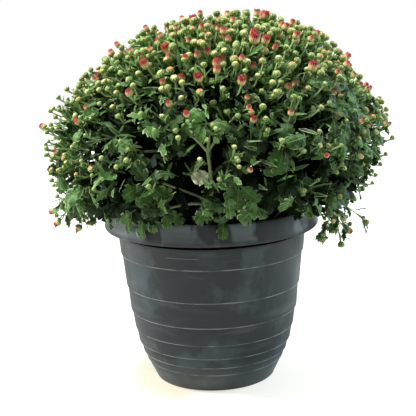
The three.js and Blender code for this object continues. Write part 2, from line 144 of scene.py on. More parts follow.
class Nodes:
    """A shader tree, with a short call for each node that it is made of."""

    def __init__(self, tree):
        self.tree = tree

    def put(self, socket, value):
        if isinstance(value, bpy.types.NodeSocket):
            self.tree.links.new(value, socket)
        else:
            socket.default_value = value

    def add(self, kind, settings=(), **inputs):
        """Adds a node. Its inputs are given by name, or by number as i0, i1 and so on."""
        made = self.tree.nodes.new("ShaderNode" + kind)
        for name, value in dict(settings).items():
            setattr(made, name, value)
        for name, value in inputs.items():
            key = int(name[1:]) if name[1:].isdigit() else name.replace("_", " ")
            self.put(made.inputs[key], value)
        return made

    def sums(self, operation, first, second=0.0, third=0.0):
        return self.add("Math", {"operation": operation}, i0=first, i1=second, i2=third).outputs[0]

    def times(self, value, *others):
        for other in others:
            value = self.sums("MULTIPLY", value, other)
        return value

    def ramp(self, value, low, high, out_low=0.0, out_high=1.0):
        """A value eased between two levels."""
        return self.add("MapRange", {"interpolation_type": "SMOOTHSTEP"}, Value=value, From_Min=low,
                        From_Max=high, To_Min=out_low, To_Max=out_high).outputs[0]

    def blend(self, share, first, second):
        """Two colours mixed by a share."""
        return self.add("Mix", {"data_type": "RGBA"}, i0=share, i6=linear(first),
                        i7=linear(second)).outputs[2]

    def here(self):
        return self.add("TexCoord").outputs["Object"]

    def moved(self, shift=(0, 0, 0), stretch=(1, 1, 1)):
        return self.add("Mapping", Vector=self.here(), Location=shift, Scale=stretch).outputs[0]

    def grain(self, scale, detail=3.0, rough=0.55, stretch=None, shift=(0, 0, 0)):
        """Cloudy noise at a scale, from 0 to 1."""
        place = self.moved(shift, stretch) if stretch else self.here()
        return self.add("TexNoise", Vector=place, Scale=scale, Detail=detail,
                        Roughness=rough).outputs["Fac"]


class Finish(Nodes):
    """A principled material, and the colour that is painted on it so far."""

    def __init__(self, name, **constants):
        self.material = bpy.data.materials.new(name)
        self.material.use_nodes = True
        super().__init__(self.material.node_tree)
        self.set(**constants)

    def set(self, **inputs):
        for name, value in inputs.items():
            self.put(self.tree.nodes["Principled BSDF"].inputs[name.replace("_", " ")], value)

    def paint(self, over, *shares, under=None):
        """Lays a colour over the one so far, or over another, as far as all the shares allow."""
        self.colour = self.blend(self.times(*shares), under or self.colour, over)
        self.set(Base_Color=self.colour)

    def emboss(self, relief, strength, distance):
        bump = self.add("Bump", Height=relief, Strength=strength, Distance=distance)
        self.set(Normal=bump.outputs[0])


pot = start(bpy.ops.mesh.primitive_circle_add, vertices=POT_SIDES, radius=POT_BASE * MM)
pot.name = "ribbed_pot"
outline = [(POT_BASE, 0), (74.3, 0.7), (75, 2.5)]
for height, radius in POT_BANDS:
    outline += [(radius - POT_STEP - 0.15, height - 2.6), (radius - POT_STEP, height - 1.3)]
    outline += [(radius - 0.3, height - 0.9), (radius, height)]
    outline += [(radius + 0.25, height + 1.4), (radius + 0.5, height + 4)]
outline += [  # the neck, the collar, its lip, and the inside
    (POT_NECK - 0.6, COLLAR_BOTTOM - 7.2), (POT_NECK, COLLAR_BOTTOM - 0.6),
    (POT_NECK + 1, COLLAR_BOTTOM), (COLLAR_RADIUS - 3.4, COLLAR_BOTTOM),
    (COLLAR_RADIUS - 1.4, COLLAR_BOTTOM - 0.9), (COLLAR_RADIUS - 0.3, COLLAR_BOTTOM + 0.4),
    (COLLAR_RADIUS, COLLAR_BOTTOM + 2.4), (COLLAR_RADIUS - 0.4, COLLAR_BOTTOM + 5), (129, 199),
    (128.2, 206), (COLLAR_TOP, 211.4), (127, 213.2), (126, POT_HEIGHT), (125, 213.4), (124.7, 212),
    (124.7, 195.5), (122, 193.2), (112.6, 192.8), (111.9, 188), (107.8, 158), (102.6, 118),
    (98.6, 87), (94.3, 64.5), (85.2, 34), (74.4, 6), (71.8, 4)]
draw_up(outline)
close_turned(pot, POT_SIDES)

drill = start(bpy.ops.mesh.primitive_cylinder_add, vertices=20, radius=DRAIN_RADIUS * MM,
              depth=DRILL_DEPTH * MM)
bpy.ops.transform.translate(value=(DRAIN_RING * MM, 0, 0))
bpy.ops.transform.rotate(value=-pi / DRAIN_HOLES, orient_axis="Z", center_override=(0, 0, 0))
for hole in range(DRAIN_HOLES - 1):
    bpy.ops.mesh.duplicate()
    bpy.ops.transform.rotate(value=2 * pi / DRAIN_HOLES, orient_axis="Z",
                             center_override=(0, 0, 0))
close_work()
modify(pot, "BOOLEAN", object=drill, operation="DIFFERENCE", solver="EXACT")
bpy.data.objects.remove(drill)
bpy.ops.object.shade_smooth_by_angle(angle=radians(SHARP_TURN))

places = points_of(pot.data) / MM
reach = np.hypot(places[:, 0], places[:, 1])
# Marks the step edges, for their pale lines of wear and painted highlight.
edges = np.zeros(len(places))
for height, radius in POT_BANDS:
    edges[(abs(reach - radius) < EDGE_LINE_WITHIN) & (abs(places[:, 2] - height) < EDGE_LINE_WITHIN)] = 1
pot.data.attributes.new("wear_and_highlight", "FLOAT", "POINT").data.foreach_set("value", edges)

coat = Finish("charcoal_plastic", Specular_IOR_Level=0.42)
level = coat.add("SeparateXYZ", Vector=coat.here()).outputs[2]
clouds = coat.grain(17, 4, 0.6, (1, 1, 1.5))
smears = coat.grain(1, 5, 0.65, (9, 9, 60))
blotches = coat.grain(16, 5, 0.62, (1, 1, 0.8), (0.3, 0, 0.1))
dust = coat.grain(900, 2)
coat.paint((54, 68, 73), coat.ramp(clouds, 0.46, 0.68, 0, 0.55), under=(22, 32, 36))
coat.paint((87, 98, 101), coat.ramp(smears, 0.52, 0.75, 0, 0.35))
coat.paint((73, 89, 94), coat.ramp(blotches, 0.5, 0.63, 0, 0.42))
# Painted shadow: the neck just under the collar's overhang is painted near-black, standing in for
# the shade there.
below = coat.sums("LESS_THAN", level, COLLAR_FROM_HEIGHT)
coat.paint((2, 2, 2), coat.ramp(level, 0.178, 0.1845), below)
# The collar's top is lightened by scuffs and by painted light, standing in for the light that falls
# on it.
scuffs_and_painted_light = coat.ramp(smears, 0.3, 0.6, 0.5, 1)
coat.paint((103, 115, 118), coat.ramp(level, 0.191, 0.197, 0, 0.8), scuffs_and_painted_light)
# The foot is lightened by dust and by painted light, standing in for light bounced up from the
# floor.
foot_dust_and_bounce_light = coat.ramp(blotches, 0.35, 0.6, 0.6, 1)
coat.paint((104, 112, 111), coat.ramp(level, 0.046, 0.004, 0, 0.7), foot_dust_and_bounce_light)
# Painted leaf shadows: dark patches on the collar, standing in for the shadows that the leaves
# above cast on it.
painted_leaf_shadows = coat.ramp(coat.grain(24, 3, 0.5, (1, 1, 0.5), (0.02, 0, 0)), 0.49, 0.55, 0, 0.9)
coat.paint((28, 33, 35), painted_leaf_shadows, coat.sums("GREATER_THAN", level, COLLAR_FROM_HEIGHT))
# Pale lines along the steps' edges: wear, and a painted highlight where the edges catch the light.
edge = coat.ramp(coat.add("Attribute", {"attribute_name": "wear_and_highlight"}).outputs["Fac"], 0.25, 0.95)
broken = coat.ramp(coat.grain(1, 4, stretch=(40, 40, 40)), 0.36, 0.6, 0.15, 0.85)
coat.paint((136, 144, 145), edge, broken)
scratch = coat.add("SeparateXYZ", Vector=coat.moved((0.034, 0, -0.172)))
along = coat.ramp(coat.sums("ABSOLUTE", scratch.outputs[0]), 0.021, 0.014)
across = coat.ramp(coat.sums("ABSOLUTE", scratch.outputs[2]), 0.0007, 0.0002)
in_front = coat.sums("LESS_THAN", scratch.outputs[1], 0)
coat.paint((150, 152, 150), along, across, in_front, 0.25)
rough = coat.ramp(clouds, 0.35, 0.7, 0.42, 0.6)
coat.set(Roughness=coat.sums("ADD", rough, coat.times(dust, 0.06)))
coat.emboss(coat.sums("ADD", coat.times(clouds, 0.6), coat.times(dust, 0.12)), 0.25, 0.002)
pot.data.materials.append(coat.material)
# A second finish that is all painted shadow: near-black for the strip of neck just under the
# collar.
coat = Finish("painted_shadow_under_collar", Roughness=1, Specular_IOR_Level=0)
coat.paint((8, 8, 7), coat.grain(300, 4), under=(1, 1, 1))
pot.data.materials.append(coat.material)
for face in pot.data.polygons:
    out = hypot(face.center.x, face.center.y) / MM
    if abs(out - POT_NECK) < 1 and COLLAR_BOTTOM - 7 < face.center.z / MM < COLLAR_BOTTOM:
        face.material_index = 1
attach(pot, "root")
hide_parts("pot")

# ---- Potting mix ----
# Peat and fine bark that fills the pot to under its collar, a little higher in the middle.
# The plug is drawn up like the pot, its top is roughened, and bark and perlite lie on it.
MIX_SIDES = 96
MIX_BASE = (71.3, 4.4)
MIX_EDGE = 184
MIX_CROWN = 4
MIX_RADIUS = 111.07
LUMPS = 0.009
LUMP_HEIGHT = 0.005
CRUMBS = 420
CRUMB_REACH = 103
PERLITE = 0.07
chance = np.random.default_rng(61)


def mix_top(radius):
    return MIX_EDGE + MIX_CROWN * (1 - (radius / MIX_RADIUS) ** 2)


def draw(number, low, high):
    """Random numbers between two limits."""
    return chance.uniform(low, high, number)


def scatter(number, spread):
    """Random vectors all round, of about a given length."""
    return chance.normal(0, spread, (number, 3))


def unit(vectors):
    return vectors / np.maximum(np.linalg.norm(vectors, axis=-1, keepdims=True), 1e-9)


def measured(piece):
    """A modelled shape as plain arrays, and the piece itself removed."""
    mesh = piece.data
    form = np.zeros(len(mesh.vertices) * 2)
    if "form" in mesh.attributes:
        mesh.attributes["form"].data.foreach_get("vector", form)
    shape = {
        "points": points_of(mesh),
        "faces": [tuple(face.vertices) for face in mesh.polygons],
        "form": form.reshape(-1, 2),
        "finish": np.array([face.material_index for face in mesh.polygons]),
    }
    bpy.data.objects.remove(piece)
    return shape


class Heap:
    """Copies of modelled shapes, gathered into the mesh of one piece."""

    def __init__(self):
        self.parts, self.faces, self.count = [], [], 0

    def add(self, shape, copies, tint, finish=None):
        """Adds copies by their points in mm, with four numbers for each that its finish reads."""
        number, size = copies.shape[:2]
        if not number:
            return
        for copy in range(number):
            self.faces += [tuple(corner + self.count for corner in face) for face in shape["faces"]]
            self.count += size
        finishes = shape["finish"] if finish is None else np.full(len(shape["faces"]), finish)
        self.parts.append((copies.reshape(-1, 3) * MM, np.tile(shape["form"], (number, 1)),
                           np.repeat(np.broadcast_to(tint, (number, 4)), size, axis=0),
                           np.tile(finishes, number)))

    def piece(self, name, finishes, crease=50):
        mesh = bpy.data.meshes.new(name)
        points, form, tint, face_finish = map(np.concatenate, zip(*self.parts))
        mesh.from_pydata(points.tolist(), [], self.faces)
        place = mesh.attributes.new("form", "FLOAT2", "POINT")
        place.data.foreach_set("vector", form.ravel())
        carried = mesh.attributes.new("tint", "FLOAT_COLOR", "POINT")
        carried.data.foreach_set("color", tint.ravel())
        for finish in finishes:
            mesh.materials.append(finish)
        mesh.polygons.foreach_set("material_index", face_finish.astype(int))
        mesh.polygons.foreach_set("use_smooth", np.ones(len(self.faces), bool))
        mesh.set_sharp_from_angle(angle=radians(crease))
        mesh.update()
        made = bpy.data.objects.new(name, mesh)
        bpy.context.collection.objects.link(made)
        return made


def stand(heap, shape, feet, axes, sizes, spins, tint):
    """Adds copies of a shape that stands on its foot, each along its own axis."""
    axes = unit(axes)
    helper = np.where(abs(axes[:, 2:3]) > 0.9, [[1.0, 0, 0]], [[0, 0, 1.0]])
    side = unit(np.cross(helper, axes))
    other = np.cross(axes, side)
    turn = np.asarray(spins)[:, None]
    first = side * np.cos(turn) + other * np.sin(turn)
    sizes = np.asarray(sizes, float)
    sizes = sizes[:, None] * np.ones(3) if sizes.ndim == 1 else sizes
    local = shape["points"][None] * sizes[:, None]
    turned = local @ np.stack([first, np.cross(axes, first), axes], axis=1)
    heap.add(shape, np.asarray(feet)[:, None] + turned, tint)


def tint_of(coat):
    """The four numbers that each copy carries."""
    carried = coat.add("Attribute", {"attribute_name": "tint"})
    split = coat.add("SeparateColor", Color=carried.outputs["Color"])
    return split.outputs[0], split.outputs[1], split.outputs[2], carried.outputs["Alpha"]


mix = start(bpy.ops.mesh.primitive_circle_add, vertices=MIX_SIDES, radius=MIX_BASE[0] * MM)
bpy.ops.transform.translate(value=(0, 0, MIX_BASE[1] * MM))
draw_up([MIX_BASE, (84.4, 34), (93.6, 64.5), (101.9, 118), (107.2, 158), (110.7, MIX_EDGE)]
        + [(radius, mix_top(radius)) for radius in (107, *range(99, 0, -9))])
close_turned(mix, MIX_SIDES)
lumps = bpy.data.textures.new("lumps", "CLOUDS")
lumps.noise_scale = LUMPS
top = mix.vertex_groups.new(name="top")
top.add([v.index for v in mix.data.vertices if v.co.z > (MIX_EDGE + 0.4) * MM], 1, "REPLACE")
modify(mix, "DISPLACE", texture=lumps, vertex_group="top", strength=LUMP_HEIGHT, direction="Z")

crumb = start(bpy.ops.mesh.primitive_ico_sphere_add, subdivisions=1, radius=1)
bpy.ops.transform.vertex_random(offset=0.35, seed=4)
close_work()
crumb = measured(crumb)
plug = measured(mix)
heap = Heap()
heap.add(plug, plug["points"][None] / MM, (0.2, 0, 0, 0))
reach = CRUMB_REACH * np.sqrt(chance.random(CRUMBS))
turn = chance.random(CRUMBS) * 2 * pi
sizes = chance.uniform(1.2, 3.4, (CRUMBS, 3)) * (1.5, 1, 0.6)
places = np.stack([reach * np.cos(turn), reach * np.sin(turn), mix_top(reach) + 1.6], axis=1)
leans = np.array([0, 0, 1]) + scatter(CRUMBS, 0.4)
tints = np.zeros((CRUMBS, 4))
tints[:, 0] = chance.random(CRUMBS)
tints[:, 1] = chance.random(CRUMBS) < PERLITE
stand(heap, crumb, places, leans, sizes, turn * 7, tints)

coat = Finish("peat_and_bark", Roughness=0.95, Specular_IOR_Level=0.2)
shade, white = tint_of(coat)[:2]
fibres = coat.grain(260, 5, 0.7, (1, 1, 2))
coat.paint((74, 56, 40), fibres, under=(26, 20, 15))
coat.paint((96, 70, 46), shade, 0.6)
coat.paint((205, 202, 190), white)
coat.emboss(fibres, 0.6, 0.001)
mix = heap.piece("potting_mix_plug", [coat.material], 40)
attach(mix, "root")
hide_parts("potting_mix")

# ---- Leaf, bract and stalk shapes ----
# Chrysanthemum leaves are thin and downy, with rounded lobes, a pale margin and sunken veins,
# and narrow bracts stand among the buds. Each kind is shaped once, for copying: leaves and
# bracts out of a grid, and stalks out of a ring.
LEAF_THICK = 0.014
BROAD_LEAF = [  # place along the blade, half width and forward sweep of the margin, for length 1
    (0, 0.02, 0), (0.18, 0.026, 0), (0.25, 0.11, -0.01), (0.31, 0.25, 0.05), (0.38, 0.24, 0.1),
    (0.44, 0.09, 0.01), (0.51, 0.28, 0.07), (0.6, 0.31, 0.13), (0.67, 0.12, 0.01),
    (0.75, 0.22, 0.06), (0.84, 0.19, 0.12), (0.9, 0.08, 0.01), (0.97, 0.09, 0.02), (1, 0.03, 0)]
ROUND_LEAF = [
    (0, 0.02, 0), (0.22, 0.026, 0), (0.3, 0.15, -0.02), (0.38, 0.28, 0.03), (0.47, 0.29, 0.09),
    (0.53, 0.14, 0.02), (0.61, 0.33, 0.07), (0.72, 0.32, 0.12), (0.77, 0.16, 0.02),
    (0.86, 0.24, 0.08), (0.94, 0.16, 0.07), (1, 0.06, 0)]
SMALL_LEAF = [
    (0, 0.02, 0), (0.16, 0.03, 0), (0.32, 0.1, 0), (0.47, 0.2, 0.05), (0.55, 0.1, 0.01),
    (0.7, 0.17, 0.06), (0.8, 0.09, 0.01), (0.92, 0.06, 0.01), (1, 0.015, 0)]
BRACT = [(0, 0.035, 0), (0.35, 0.085, 0), (0.7, 0.075, 0), (1, 0.01, 0)]
MARGIN_MARK = 2
MARGIN_WAVES = 0.24
CUPPED = 1.5


def note_form(piece, place):
    """Notes on each point where it lies across and along the shape, for the finish."""
    form = piece.data.attributes.new("form", "FLOAT2", "POINT")
    for point in piece.data.vertices:
        form.data[point.index].vector = place(point)


def round_and_up(point, height=1):
    """A point's turn round the shape's axis, from -1 to 1, and its share of the height."""
    return atan2(point.co.y, point.co.x) / pi, point.co.z / height


def blade(rows, columns):
    """A leaf for length 1, drawn along Y from a grid, thin and closed along its margin."""
    leaf = start(bpy.ops.mesh.primitive_grid_add, x_subdivisions=columns,
                 y_subdivisions=len(rows) - 1, size=1)
    wide = columns + 1
    for row, (along, half, sweep) in enumerate(rows):
        points = range(row * wide, (row + 1) * wide)
        take(leaf, points)
        bpy.ops.transform.resize(value=(2 * half, 1, 1))
        bpy.ops.transform.translate(value=(0, along - row / (len(rows) - 1) + 0.5, 0))
        take(leaf, (points[0], points[-1]))
        bpy.ops.transform.translate(value=(0, sweep, 0))
        if columns > 2:
            take(leaf, (points[1], points[-2]))
            bpy.ops.transform.translate(value=(0, sweep / 2, 0))
    close_work()
    inner = {row * wide + column for row in range(1, len(rows) - 1) for column in range(1, columns)}
    leaf.vertex_groups.new(name="body").add(list(inner), 1, "REPLACE")
    note_form(leaf, lambda point: (point.co.x + (0 if point.index in inner else MARGIN_MARK),
                                   point.co.y))
    for side in ("face", "back"):
        leaf.data.materials.append(None)
    modify(leaf, "SOLIDIFY", thickness=LEAF_THICK, offset=-1, use_rim=False, vertex_group="body",
           thickness_vertex_group=0, material_offset=1)
    bpy.ops.object.mode_set(mode="EDIT")
    bpy.ops.mesh.select_all(action="SELECT")
    bpy.ops.mesh.remove_doubles(threshold=0.0005)
    close_work()
    return measured(leaf)


def stalk(sides, steps):
    """A plain stalk of length and radius 1 along Z, closed at both ends, for laying on a curve."""
    rod = start(bpy.ops.mesh.primitive_circle_add, vertices=sides, radius=1, fill_type="NGON")
    for step in range(steps):
        bpy.ops.mesh.extrude_region_move(TRANSFORM_OT_translate={"value": (0, 0, 1 / steps)})
    face_outwards()
    note_form(rod, round_and_up)
    return measured(rod)


broad_leaf = blade(BROAD_LEAF, 4)
round_leaf = blade(ROUND_LEAF, 4)
small_leaf = blade(SMALL_LEAF, 2)
bract = blade(BRACT, 2)
pedicel = stalk(5, 3)
branch = stalk(6, 6)
trunk = stalk(8, 14)


def leafed(shape, bases, headings, faces, sizes, droop, fold, sway):
    """Copies of a leaf, each from its base along its heading, folded a little along the
    midrib and curled down along an arc."""
    headings = unit(np.atleast_2d(headings))
    side = unit(np.cross(headings, faces))
    up = np.cross(side, headings)
    across, along, depth = (shape["points"][None, :, axis] for axis in range(3))
    droop, fold, sway, scale = (np.atleast_1d(v)[:, None] for v in (droop, fold, sway, sizes))
    waves = MARGIN_WAVES * np.sin(along * 17 + sway * 9)
    depth = depth + (fold + waves) * abs(across) - CUPPED * across ** 2
    turn = droop * along
    safe = np.where(abs(droop) < 1e-3, 1e-3, droop)
    ahead = np.sin(safe * along) / safe + depth * np.sin(turn)
    rise = (np.cos(safe * along) - 1) / safe + depth * np.cos(turn)
    across = across + sway * along ** 2
    turned = np.stack([across, ahead, rise], axis=-1) @ np.stack([side, headings, up], axis=1)
    return np.atleast_2d(bases)[:, None] + scale[..., None] * turned


def curve_at(path, shares):
    """Points at shares of a curve from its start past its bend to its end."""
    start, bend, end = path
    shares = np.asarray(shares)[..., None]
    return start * (1 - shares) ** 2 + 2 * bend * shares * (1 - shares) + end * shares ** 2


def lay(heap, shape, starts, bends, ends, first_radius, last_radius, tint):
    """Adds copies of a stalk, each along its own curve from start to end."""
    starts, bends, ends = (np.atleast_2d(v)[:, None] for v in (starts, bends, ends))
    share = shape["points"][None, :, 2:3]
    middle = curve_at((starts, bends, ends), share[..., 0])
    onward = unit(2 * (bends - starts) * (1 - share) + 2 * (ends - bends) * share)
    side = unit(np.cross(np.cross(ends - starts, [0.31, 0.22, 0.93]), onward))
    other = np.cross(onward, side)
    first, last = (np.asarray(radius)[..., None, None] for radius in (first_radius, last_radius))
    radius = first * (1 - share) + last * share
    heap.add(shape, middle + radius * (shape["points"][None, :, 0:1] * side
                                       + shape["points"][None, :, 1:2] * other), tint)


# ---- Bud shapes ----
# A closed bud is a button of overlapping green bracts. An opening one stands in a green cup
# and shows a tuft of red florets. Each is a ball or ring shaped once, then copied.
BUTTON_SIDES = 10
TUFT_SIDES = 14
TUFT_FOOT = 0.14
TUFT_TALL = 2.3
CUP_HEIGHT = 0.95
TIGHT_RINGS = [  # radius, height and how far each second point stands higher
    (0.34, 0.08, 0), (0.8, 0.36, 0), (0.98, 0.8, 0.14), (0.96, 1.2, 0.05), (0.78, 1.6, 0.22),
    (0.5, 1.92, 0.26), (0.2, 2.04, 0.16)]
OPEN_RINGS = [
    (0.34, 0.08, 0), (0.76, 0.36, 0), (0.94, 0.78, 0.14), (0.98, 1.2, 0.05), (1, 1.66, 0.34),
    (0.8, 2.02, 0.38), (0.36, 1.96, 0.16)]

button = start(bpy.ops.mesh.primitive_uv_sphere_add, segments=BUTTON_SIDES, ring_count=6, radius=1)
heights = {v.index: v.co.z for v in button.data.vertices}
turns = {v.index: atan2(v.co.y, v.co.x) for v in button.data.vertices}
odd = [i for i in heights if round(turns[i] / (2 * pi) * BUTTON_SIDES) % 2]
even = [i for i in heights if i not in odd]
bpy.ops.transform.translate(value=(0, 0, 1))
bpy.ops.transform.resize(value=(1, 1, 0.86), center_override=(0, 0, 0))
for points, low, high, size, rise in (  # by their height on the ball: how they widen and rise
        (heights, -2, -0.9, 1, -0.12), (odd, -0.1, 0.1, 1.07, 0.12), (even, 0.4, 0.6, 1.1, 0.1),
        (odd, 0.8, 0.95, 1, 0.08), (heights, 0.95, 2, 1, -0.16)):
    take(button, [i for i in points if low < heights[i] < high])
    bpy.ops.transform.resize(value=(size, size, 1))
    bpy.ops.transform.translate(value=(0, 0, rise))
close_work()
note_form(button, lambda point: (turns[point.index] / pi, heights[point.index] / 2 + 0.5))
closed_bud = measured(button)


def tuft(rings):
    """An opening bud on its foot: a cup, then a sleeve of florets that closes to a ragged crown."""
    made = start(bpy.ops.mesh.primitive_circle_add, vertices=TUFT_SIDES, radius=TUFT_FOOT,
                 fill_type="NGON")
    draw_up([(TUFT_FOOT, 0)] + [ring[:2] for ring in rings], 1)
    bpy.ops.mesh.merge(type="CENTER")
    for number, ring in enumerate(rings):
        first = (number + 1) * TUFT_SIDES
        if ring[2]:
            take(made, range(first + number % 2, first + TUFT_SIDES, 2))
            bpy.ops.transform.translate(value=(0, 0, ring[2]))
    face_outwards()
    note_form(made, lambda point: round_and_up(point, TUFT_TALL))
    for face in made.data.polygons:
        face.material_index = 1 if face.center.z > CUP_HEIGHT else 0
    return measured(made)


tight_tuft = tuft(TIGHT_RINGS)
open_tuft = tuft(OPEN_RINGS)

# ---- Foliage finishes ----
# Leaves are deep green under a greyish bloom, paler beneath and along the margin. Stalks and
# buds are a lighter, yellower green, and the florets go from cream at their foot to red.
# What grows deep inside the plant is painted darker: painted shade.
PAINTED_DEEP_SHADE = (6, 13, 4)


def form_of(coat):
    """The place on the copied shape: across it, and along it."""
    carried = coat.add("Attribute", {"attribute_name": "form"})
    split = coat.add("SeparateXYZ", Vector=carried.outputs["Vector"])
    return split.outputs[0], split.outputs[1]


def leaf_finish(name, deep, fresh, bloom, vein, margin, roughness):
    coat = Finish(name, Specular_IOR_Level=0.09)
    shade, young, depth, pale_edge = tint_of(coat)
    across, along = form_of(coat)
    off_rib = coat.sums("ABSOLUTE", across)
    coat.paint(fresh, shade, under=deep)
    coat.paint((102, 148, 62), young)
    coat.paint((232, 236, 200), coat.sums("SUBTRACT", young, 1))
    mottle = coat.grain(130)
    coat.paint(bloom, coat.ramp(mottle, 0.42, 0.66, 0, 0.68))
    slant = coat.times(coat.sums("MULTIPLY_ADD", off_rib, -0.75, along), 10)
    zigzag = coat.sums("SUBTRACT", coat.sums("PINGPONG", slant, 1), 0.5)
    veins = coat.sums("MAXIMUM", coat.ramp(coat.sums("ABSOLUTE", zigzag), 0.4, 0.5),
                      coat.ramp(off_rib, 0.028, 0.008))
    coat.paint(vein, veins, 0.45)
    coat.paint(margin, coat.ramp(off_rib, 1.4, 1.88), pale_edge)
    # Painted shade: the deeper inside the plant a leaf lies, the darker it is painted.
    coat.paint(PAINTED_DEEP_SHADE, depth, 0.97)
    coat.set(Roughness=coat.ramp(mottle, 0.3, 0.7, roughness - 0.07, roughness + 0.08))
    coat.emboss(coat.sums("SUBTRACT", coat.times(coat.grain(420, 2), 0.5), veins), 0.35, 0.0006)
    return coat.material


leaf_face = leaf_finish("leaf_face", (9, 33, 10), (61, 110, 35), (95, 132, 84), (136, 166, 110),
                        (184, 208, 150), 0.5)
leaf_back = leaf_finish("leaf_back", (38, 74, 30), (70, 112, 50), (84, 118, 72), (108, 140, 84),
                        (180, 202, 146), 0.7)

# Painted shade: a near-black finish for the leaves deep inside, standing in for the shade there.
coat = Finish("inner_leaf_painted_shade", Roughness=0.9, Specular_IOR_Level=0.03)
coat.paint((17, 27, 9), coat.ramp(coat.grain(90, 4), 0.35, 0.65), under=(4, 11, 4))
inner_leaf_painted_shade = coat.material

coat = Finish("green_stalk", Roughness=0.55, Specular_IOR_Level=0.35)
shade, woody, depth, lit = tint_of(coat)
around, along = form_of(coat)
coat.paint((190, 212, 146), shade, under=(62, 98, 34))
coat.paint((146, 162, 110), coat.ramp(coat.grain(500, stretch=(1, 1, 0.3)), 0.4, 0.7, 0, 0.35))
coat.paint((96, 82, 50), woody)
# Painted shade: stalks are painted darker towards their foot, among the leaves, unless marked lit.
coat.paint((20, 36, 13), coat.ramp(along, 0.75, 0.1, 0, 0.8), coat.sums("SUBTRACT", 1, lit))
# Painted shade: stalks deep inside the plant are painted darker.
coat.paint(PAINTED_DEEP_SHADE, depth, 0.97)
green_stalk = coat.material

coat = Finish("bud_bracts", Roughness=0.55, Specular_IOR_Level=0.2)
around, height = form_of(coat)
shade, ripe = tint_of(coat)[:2]
coat.paint((148, 170, 98), shade, under=(84, 120, 50))
row = coat.times(height, 2.6)
turned = coat.sums("MULTIPLY_ADD", coat.sums("FLOOR", row), 0.5, coat.times(around, 4))
seams = coat.times(coat.sums("PINGPONG", turned, 0.5), 2)
tip = coat.times(coat.sums("FRACT", row), coat.ramp(seams, 0.2, 0.8))
coat.paint((184, 192, 136), coat.ramp(tip, 0.4, 0.85, 0, 0.85))
coat.paint((40, 64, 24), coat.ramp(seams, 0.42, 0, 0, 0.85))
coat.paint((172, 188, 120), coat.ramp(ripe, 0.7, 0.78, 0, 0.75), coat.ramp(height, 0.06, 0.34))
blush = coat.blend(coat.ramp(ripe, 0.2, 0.5), (144, 162, 92), (204, 198, 134))
blush = coat.blend(coat.ramp(ripe, 0.56, 0.7), blush, (208, 132, 90))
blush = coat.blend(coat.ramp(ripe, 0.74, 0.84), blush, (168, 64, 56))
aside = coat.sums("COSINE", coat.sums("MULTIPLY_ADD", around, pi, coat.times(shade, 6)))
crown = coat.sums("ADD", coat.sums("MULTIPLY_ADD", ripe, 0.14, height), coat.times(aside, 0.1))
coat.paint(blush, coat.ramp(crown, 0.88, 1.02))
bud_bracts = coat.material

coat = Finish("ray_florets", Roughness=0.6, Specular_IOR_Level=0.15)
around, height = form_of(coat)
shade = tint_of(coat)[0]
coat.paint((178, 68, 56), shade, under=(128, 24, 32))
folds = coat.times(coat.sums("PINGPONG", coat.times(around, 7), 0.5), 2)
fade = coat.sums("MULTIPLY_ADD", shade, 0.16, coat.sums("MULTIPLY_ADD", folds, -0.24, height))
coat.paint((214, 190, 136), coat.ramp(fade, 0.74, 0.44))
coat.paint((92, 12, 24), coat.ramp(folds, 0.35, 0, 0, 0.75))
coat.paint((216, 128, 104), coat.ramp(folds, 0.7, 1, 0, 0.35))
ray_florets = coat.material

# ---- Leafy stems ----
# Twenty-two stems arch out of the mix to a close dome, and seven short ones fill in over the
# rim. Each forks into side shoots, and the shoots end in an even head of buds on short stalks.
GOLDEN_TURN = pi * (3 - sqrt(5))
DOME_CENTRE = 283
DOME_RADIUS = 205
DOME_RISE = 158
DOME_DROP = 182
DOME_LEAN = 0.115
LEAN_FROM = 200
HEM_SIDE = 207
HEM_FRONT = 228
HEM_BACK = 214
BULGES = [  # way out of the dome's centre, how far it swells in mm, and how narrowly
    ((0.97, -0.1, 0), 13, 24), ((0.93, -0.1, -0.3), -9, 20), ((0.8, 0, 0.6), -3, 6),
    ((-0.94, -0.2, 0.24), 9, 18), ((-0.98, -0.1, -0.16), -10, 20), ((0.97, -0.1, -0.22), -9, 26),
    ((0.93, -0.1, 0.34), -10, 26)]
SHOULDER = (6, 0.52, 0.17)  # how far it is drawn in, at which height of the way, and how widely
TALL_STEMS = 22
TALL_FOOT = 80
TALL_ARCH = 118
TALL_THICK = 2.8
RIM_STEMS = 7
RIM_FOOT = 95
RIM_ARCH = 72
RIM_THICK = 2.3
STEM_REACH = 1.1
STEM_INSET = 36
STEM_IN_MIX = np.array([0, 0, 12])
RIM_POLAR = 1.9
SHOOTS = 240
KINDS = ("leaves", "stalks", "buds", "florets")
FORKED_STEM = 20
FORK_BEND = np.array([6, -150, 250])
FORK = np.array([-2, -158, 298])
FORK_ENDS = [(-19, -164, 317), (27, -155, 333), (2, -160, 325)]


def hem_height(ways):
    """The height of the plant's lower edge in each direction."""
    flat = np.maximum(np.hypot(ways[..., 0], ways[..., 1]), 1e-6)
    front = np.maximum(0, -ways[..., 1] / flat) ** 2
    back = np.maximum(0, ways[..., 1] / flat) ** 2
    return HEM_SIDE + (HEM_FRONT - HEM_SIDE) * front + (HEM_BACK - HEM_SIDE) * back


def bulging(ways):
    """How far the plant swells out of its even dome, in mm."""
    swell = sum(most * np.maximum(ways @ unit(way), 0) ** narrow
                for way, most, narrow in BULGES)
    drawn_in, level, width = SHOULDER
    return swell - drawn_in * np.exp(-((ways[..., 2] - level) / width) ** 2)


def dome_share(away):
    """How far out points lie, as a share of the even dome's size in their direction."""
    rise = np.where(away[..., 2] > 0, DOME_RISE, DOME_DROP)
    return np.hypot(np.hypot(away[..., 0], away[..., 1]) / DOME_RADIUS, away[..., 2] / rise)


